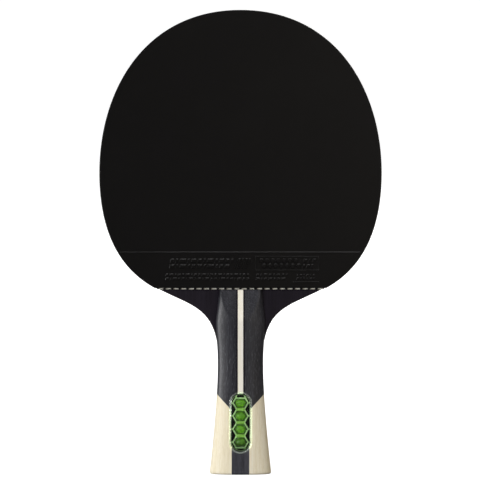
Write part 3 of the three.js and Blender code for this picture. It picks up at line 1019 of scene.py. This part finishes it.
def scale_section(z, columns=128):
    half_width = handle_half_width(z) - end_inset(z)
    rise = handle_half_thickness(z) - WOOD_FACE - end_inset(z)
    angle = np.linspace(0, math.pi, columns + 1)
    cosine, sine = np.cos(angle), np.sin(angle)
    sine[0] = sine[-1] = 0
    power = SECTION_ROUNDNESS
    reach = ((np.abs(cosine) / half_width) ** power + (sine / rise) ** power) ** (-1 / power)
    limit = ramp_rise(z) / np.maximum(sine, 1e-4)
    reach = soft_min(reach, limit, RAMP_SOFTNESS)
    return np.column_stack([reach * cosine, -(WOOD_FACE + reach * sine), np.full(columns + 1, z)])


def scale_block():
    """A whole scale, with its sections closest together round the rim of its end."""
    heights = np.concatenate([
        END_ROUNDING * (1 - np.cos(np.linspace(0, math.pi / 2, 9))),
        np.arange(2, SCALE_TOP[1] - 0.4, SECTION_STEP),
        [SCALE_TOP[1]],
    ])
    return object_from("scale_block", *loft([scale_section(z) for z in heights]))


def scale_outlines():
    """Outlines in X and Z of the right-hand and middle woods of a scale."""
    gap = GLUE_GAP / 2
    vee_gap = gap * math.hypot(1, VEE_SLOPE)

    def vee(x, shift):
        return (x, VEE_LOW + (x - TAIL_HALF_WIDTH) * VEE_SLOPE + shift)

    def mirror(outline):
        return [(-x, z) for x, z in outline]

    upper = [
        (LINE_HALF_WIDTH + gap, VEE_LOW + gap),
        (TAIL_HALF_WIDTH, VEE_LOW + gap),
        vee(TAIL_HALF_WIDTH, vee_gap),
        vee(REACH, vee_gap),
        (REACH, 2 * REACH),
        (LINE_HALF_WIDTH + gap, 2 * REACH),
    ]
    line = [
        (STRIPE_HALF_WIDTH + gap, VEE_LOW + gap),
        (LINE_HALF_WIDTH - gap, VEE_LOW + gap),
        (LINE_HALF_WIDTH - gap, 2 * REACH),
        (STRIPE_HALF_WIDTH + gap, 2 * REACH),
    ]
    wing = [
        (TAIL_HALF_WIDTH + gap, -1),
        (REACH, -1),
        vee(REACH, -vee_gap),
        vee(TAIL_HALF_WIDTH + gap, -vee_gap),
    ]
    stripe_edge, tail_edge = STRIPE_HALF_WIDTH - gap, TAIL_HALF_WIDTH - gap
    stripe = [
        (-stripe_edge, VEE_LOW + gap),
        (stripe_edge, VEE_LOW + gap),
        (stripe_edge, 2 * REACH),
        (-stripe_edge, 2 * REACH),
    ]
    tail = [(-tail_edge, -1), (tail_edge, -1), (tail_edge, VEE_LOW - gap), (-tail_edge, VEE_LOW - gap)]
    return {
        "grip_upper_left": (mirror(upper), dark_wood, "dark_wood"),
        "grip_upper_right": (upper, dark_wood, "dark_wood"),
        "inlay_stripe": (stripe, stripe_wood, "cream_wood"),
        "inlay_line_left": (mirror(line), black_wood, "black_veneer"),
        "inlay_line_right": (line, black_wood, "black_veneer"),
        "grip_wing_left": (mirror(wing), cream_wood, "cream_wood"),
        "grip_wing_right": (wing, cream_wood, "cream_wood"),
        "grip_tail": (tail, tail_wood, "dark_wood"),
    }


OTHER_SIDE = {"left": "right", "right": "left"}


def add_scales():
    plain = scale_block()
    pocketed = combine(copy_of(plain, "pocketed"), pocket_tool(), "DIFFERENCE")
    for name, (outline, look, slot) in scale_outlines().items():
        front = copy_of(pocketed, f"front_{name}_fine")
        combine(front, slab("tool", np.array(outline), 0, REACH), "INTERSECT")
        finish_piece(front, look, slot, f"front_{name}")
        stem, _, hand = name.rpartition("_")
        back_name = f"{stem}_{OTHER_SIDE[hand]}" if hand in OTHER_SIDE else name
        half = copy_of(plain, "half")
        combine(half, slab("tool", np.array(outline), 0, REACH), "INTERSECT")
        finish_piece(turned(half, f"back_{back_name}_fine"), look, slot, f"back_{back_name}")
        bpy.data.objects.remove(half)
    bpy.data.objects.remove(plain)
    bpy.data.objects.remove(pocketed)


# ---------------- badge

BADGE_TILT = math.atan2(
    handle_half_thickness(BADGE_TOP) - handle_half_thickness(BADGE_BOTTOM),
    BADGE_TOP - BADGE_BOTTOM,
)
BADGE_PLACE = np.array([
    0.0,
    -(handle_half_thickness(BADGE_TOP) + handle_half_thickness(BADGE_BOTTOM)) / 2,
    (BADGE_TOP + BADGE_BOTTOM) / 2,
])
BADGE_HALF_LENGTH = (BADGE_TOP - BADGE_BOTTOM) / 2


def in_badge(points):
    """Points given by x, depth and z on the badge, in the frame of the paddle."""
    points = np.asarray(points, float)
    cosine, sine = math.cos(BADGE_TILT), math.sin(BADGE_TILT)
    turn = np.array([[1, 0, 0], [0, cosine, -sine], [0, sine, cosine]])
    return points @ turn.T + BADGE_PLACE


def badge_ring(outline, depth):
    depths = np.broadcast_to(depth, len(outline))
    return in_badge(np.column_stack([outline[:, 0], depths, outline[:, 1]]))


def pocket_tool():
    """The recess for the cover, with the deeper pocket of the tray in it."""

    def plug(name, half_width, half_length, depth):
        outline = stadium(half_width, half_length)
        return object_from(name, *loft([badge_ring(outline, -REACH / 4), badge_ring(outline, depth)]))

    return combine(plug("recess", *RECESS), plug("pocket", *POCKET), "UNION")


def add_tray():
    wall = TRAY[0] - LATTICE[0] - TRAY_GAP
    top, bottom = TRAY_DEPTHS
    outside = stadium(*TRAY)
    inside = stadium(TRAY[0] - wall, TRAY[1] - wall)
    rim_out = stadium(TRAY[0] - RIM_EASE, TRAY[1] - RIM_EASE)
    rim_in = stadium(TRAY[0] - wall + RIM_EASE, TRAY[1] - wall + RIM_EASE)
    rings = [
        badge_ring(outside, bottom),
        badge_ring(outside, top + RIM_EASE),
        badge_ring(rim_out, top),
        badge_ring(rim_in, top),
        badge_ring(inside, top + RIM_EASE),
        badge_ring(inside, bottom - TRAY_FLOOR),
    ]
    tray = object_from("badge_tray_fine", *loft(rings))
    finish_piece(tray, black_plastic, "black_plastic", "badge_tray")


def clipped(subject, convex):
    """The part of one convex polygon inside another that runs anticlockwise."""
    result = [np.asarray(p, float) for p in subject]
    for a, b in zip(convex, np.roll(convex, -1, axis=0)):
        edge = b - a
        side = [edge[0] * (p[1] - a[1]) - edge[1] * (p[0] - a[0]) for p in result]
        kept = []
        for i, p in enumerate(result):
            j = (i + 1) % len(result)
            if side[i] >= 0:
                kept.append(p)
            if side[i] * side[j] < 0:
                kept.append(p + (result[j] - p) * side[i] / (side[i] - side[j]))
        result = kept
        if len(result) < 3:
            return np.empty((0, 2))
    return np.array(result)


def cell_height(index):
    return (index - (CELL_COUNT - 1) / 2) * CELL_PITCH


def reach_up(row):
    """How far a cell reaches above its middle. The top one is a little shorter."""
    cut = TOP_CELL_CUT if row == CELL_COUNT - 1 else 0
    return CELL_PITCH / 2 - BRIDGE_HALF_HEIGHT - cut


def cell_openings():
    """Openings in the lattice: whole cells down the middle, part cells beside them, slots at the ends."""
    inside = stadium(LATTICE[0] - LATTICE_RIM, LATTICE[1] - LATTICE_RIM)
    apothem = (CELL_PITCH - CELL_WALL) / 2
    radius = apothem / math.cos(math.pi / 6)
    low = reach_up(0)
    openings = []
    for row in range(CELL_COUNT):
        middle = (0, cell_height(row))
        high = reach_up(row)
        window = np.array([(-PAST_CELL, -low), (PAST_CELL, -low), (PAST_CELL, high), (-PAST_CELL, high)])
        openings.append(clipped(hexagon(middle, radius), window + middle))
    for side in (-1, 1):
        for row in range(CELL_COUNT + 1):
            middle = (side * CELL_PITCH * math.cos(math.pi / 6), cell_height(row - 0.5))
            openings.append(clipped(hexagon(middle, radius), inside))
    tip_half_width, tip = END_SLOT_TIP
    for side, reach in ((1, reach_up(CELL_COUNT - 1)), (-1, low)):
        start = cell_height(CELL_COUNT - 1) + reach + END_WALL
        slot = np.array([
            (-END_SLOT_HALF_WIDTH, start),
            (END_SLOT_HALF_WIDTH, start),
            (tip_half_width, tip),
            (-tip_half_width, tip),
        ])
        openings.append(clipped(side * slot, inside))
    return [rounded(without_short_sides(opening), OPENING_ROUNDING, 3) for opening in openings]


def without_short_sides(outline, shortest=0.3):
    """Drops points closer than shortest to the one before, so that corners can be rounded."""
    kept = [outline[0]]
    for point in outline[1:]:
        if np.linalg.norm(point - kept[-1]) > shortest:
            kept.append(point)
    if np.linalg.norm(kept[0] - kept[-1]) < shortest:
        kept.pop()
    return np.array(kept)


def grown(outline, distance):
    """A closed outline that runs anticlockwise, moved outwards."""
    along = np.roll(outline, -1, axis=0) - np.roll(outline, 1, axis=0)
    along /= np.linalg.norm(along, axis=1)[:, None]
    return outline + distance * np.column_stack([along[:, 1], -along[:, 0]])


def add_lattice():
    top, bottom = LATTICE_DEPTHS
    rim = [(bottom, -LATTICE_MARGIN), (bottom, 0)]
    rim += [(top + below, outset) for below, outset in LATTICE_EASE]
    flare = [(top + below, outset) for below, outset in OPENING_FLARE]
    flare.append((bottom + LATTICE_MARGIN, 0))

    def eased(outline, profile):
        return loft([badge_ring(grown(outline, outset), depth) for depth, outset in profile])

    lattice = object_from("badge_lattice_fine", *eased(stadium(*LATTICE), rim))
    tools = [eased(opening, flare) for opening in cell_openings()]
    combine(lattice, shell_group("openings", tools), "DIFFERENCE")
    finish_piece(lattice, light_green, "light_green_plastic", "badge_lattice", smooth_angle=40)


def dome(row):
    """An oval dome on a low pad that fills a cell."""
    angle = np.linspace(0, 2 * math.pi, DOME_SIDES + 1)[:-1]
    apothem = (CELL_PITCH - CELL_WALL) / 2 - DOME_GAP
    in_side = (angle - math.pi / 6) % (math.pi / 3) - math.pi / 6
    half_height = np.where(np.sin(angle) > 0, reach_up(row), reach_up(0)) - DOME_GAP
    pad = np.minimum(apothem / np.cos(in_side), half_height / np.maximum(np.abs(np.sin(angle)), 1e-6))
    oval = 1 / np.hypot(np.cos(angle) / DOME_HALF_WIDTH, np.sin(angle) / (half_height - DOME_INSET))
    foot = np.minimum(oval + DOME_FOOT, pad - PAD_LEDGE)
    outlines = [(pad, 0), (pad, PAD_RISE - PAD_EASE), (pad - PAD_EASE, PAD_RISE), (foot, PAD_RISE)]
    for share in np.linspace(0, DOME_TOP_SHARE, 11):
        rise = PAD_RISE + DOME_STEP + share * (DOME_RISE - PAD_RISE)
        outlines.append((oval * math.sqrt(1 - share**2) * DOME_SHRINK, rise))
    rings = []
    for outline, rise in outlines:
        depth = LATTICE_DEPTHS[1] - rise
        height = cell_height(row) + outline * np.sin(angle)
        points = [outline * np.cos(angle), np.full(len(angle), depth), height]
        rings.append(in_badge(np.column_stack(points)))
    return loft(rings)


def add_cells():
    for i in range(CELL_COUNT):
        cell = object_from(f"badge_cell_{i + 1}_fine", *dome(CELL_COUNT - 1 - i))
        finish_piece(cell, dark_green, "dark_green_plastic", f"badge_cell_{i + 1}", smooth_angle=60)
        # The pad round each dome gets the darker green: painted shade
        paint_rings(cell, pad_shade_green, 0, PAD_BANDS, DOME_SIDES)


def paint_rings(piece, material, first, last, around):
    """Gives the bands of faces from the first ring to the last a second material."""
    piece.data.materials.append(material)
    for face in piece.data.polygons:
        if first <= face.index // around < last:
            face.material_index = 1


def add_lens():
    """The clear cover: a round bead that fills the recess, and a flat pane inside it."""

    def ring(inset, depth):
        return badge_ring(stadium(LENS_HALF_WIDTH - inset, BADGE_HALF_LENGTH - inset, 32), depth)

    # From under the middle of the pane, out over the foot and the bead, and back over the pane
    under_pane = PANE_THICKNESS - BEAD_FOOT
    rings = [
        ring(PANE_MIDDLE, under_pane),
        ring(HOLLOW_INSET + 0.3, under_pane),
        ring(HOLLOW_INSET + 0.06, under_pane),
        ring(HOLLOW_INSET, PANE_THICKNESS),
        ring(HOLLOW_INSET, LENS_SEAT - FOOT_EASE),
        ring(HOLLOW_INSET - FOOT_EASE, LENS_SEAT),
        ring(RIM_EASE, LENS_SEAT),
        ring(0, LENS_SEAT - RIM_EASE),
    ]
    first_bead_ring = len(rings)
    for angle in np.linspace(0, math.pi, BEAD_STEPS + 1):
        inset = BEAD_WIDTH / 2 * (1 - math.cos(angle))
        rings.append(ring(inset, -BEAD_FOOT - BEAD_RISE * math.sin(angle)))
    rings += [
        ring(BEAD_WIDTH + 0.25, -BEAD_FOOT + 0.02),
        ring(2.5, -BEAD_FOOT),
        ring(PANE_MIDDLE, -BEAD_FOOT - 0.01),
    ]
    lens = object_from("badge_lens_fine", *loft(rings))
    finish_piece(lens, clear_resin, "clear_resin", "badge_lens", smooth_angle=50)
    paint_rings(lens, cloudy_resin, first_bead_ring, first_bead_ring + BEAD_STEPS, len(rings[0]))


add_blade()
add_rubbers()
add_tape()
add_scales()
add_tray()
add_lattice()
add_cells()
add_lens()
